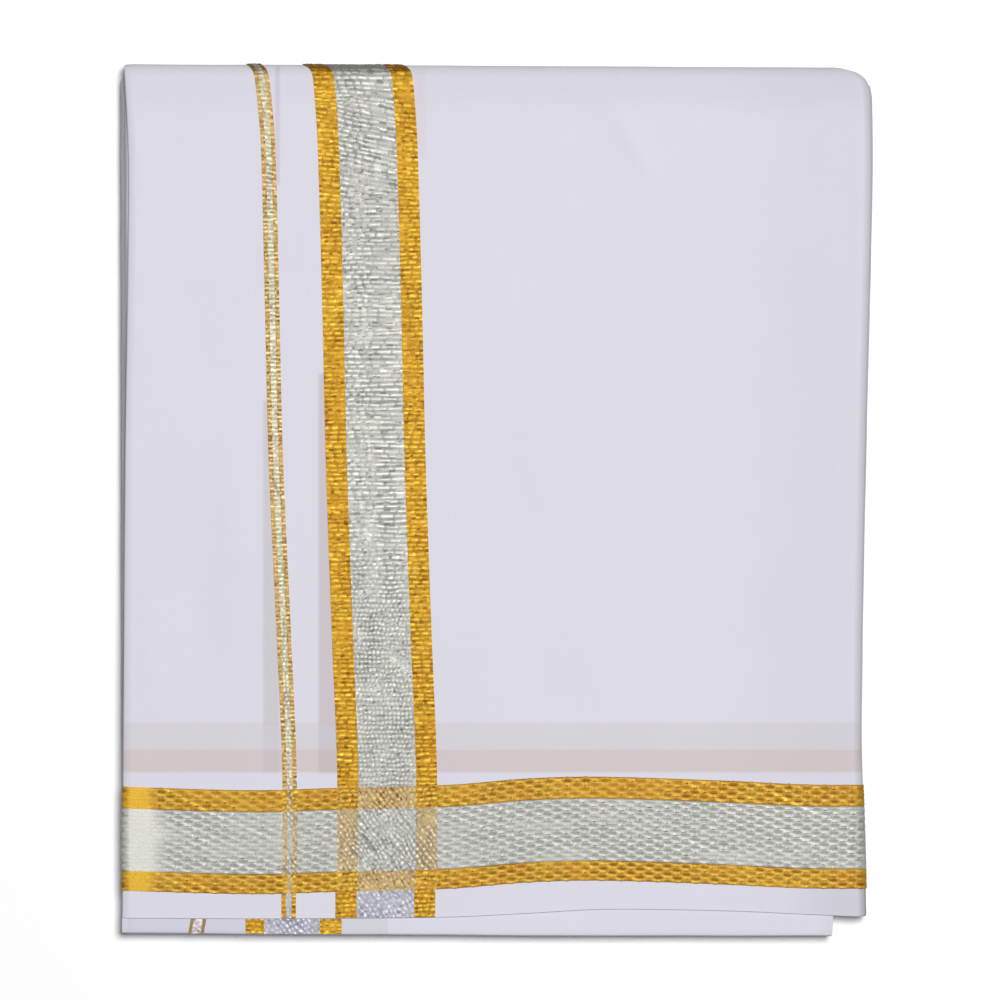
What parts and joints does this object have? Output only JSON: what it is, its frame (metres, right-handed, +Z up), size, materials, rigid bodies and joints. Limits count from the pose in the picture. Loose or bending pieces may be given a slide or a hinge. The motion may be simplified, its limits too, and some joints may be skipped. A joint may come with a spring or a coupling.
{
  "type": "folded dhoti cloth",
  "caption": "Woven cotton dhoti folded flat into a rectangular packet, with gold and silver zari border, wide end band and narrow stripe, turned over once at the top.",
  "frame": {"origin": "on the surface that the packet rests on, under the middle of its box", "axes": "+X across the packet, from the narrow stripe's side to the plain side; +Y up the packet towards its top turn; +Z up, away from the surface"},
  "size_m": [0.2734, 0.3168, 0.0148],
  "materials": {
    "cotton": "bleached fine plain-weave cotton with a cool white, soft and matt",
    "gold_zari": "woven gold metallic thread, glinting in short floats",
    "silver_zari": "woven silver metallic thread, glinting in short floats"
  },
  "bodies": {
    "root": {"front_stretch": "cotton", "top_turn": "cotton", "back_stretch": "cotton", "inner_folds": "cotton", "border_gold_lower": "gold_zari", "border_silver": "silver_zari", "border_gold_upper": "gold_zari", "end_gold_left": "gold_zari", "end_silver": "silver_zari", "end_gold_right": "gold_zari", "end_gold_left_tail": "gold_zari", "end_silver_tail": "silver_zari", "end_gold_right_tail": "gold_zari", "stripe_gold_left": "gold_zari", "stripe_silver": "silver_zari", "stripe_gold_right": "gold_zari", "stripe_gold_left_tail": "gold_zari", "stripe_silver_tail": "silver_zari", "stripe_gold_right_tail": "gold_zari", "under_tail_stripe": "silver_zari", "under_tail_gold_left": "gold_zari", "under_tail_silver": "silver_zari", "under_tail_gold_right": "gold_zari"}
  },
  "joints": []
}
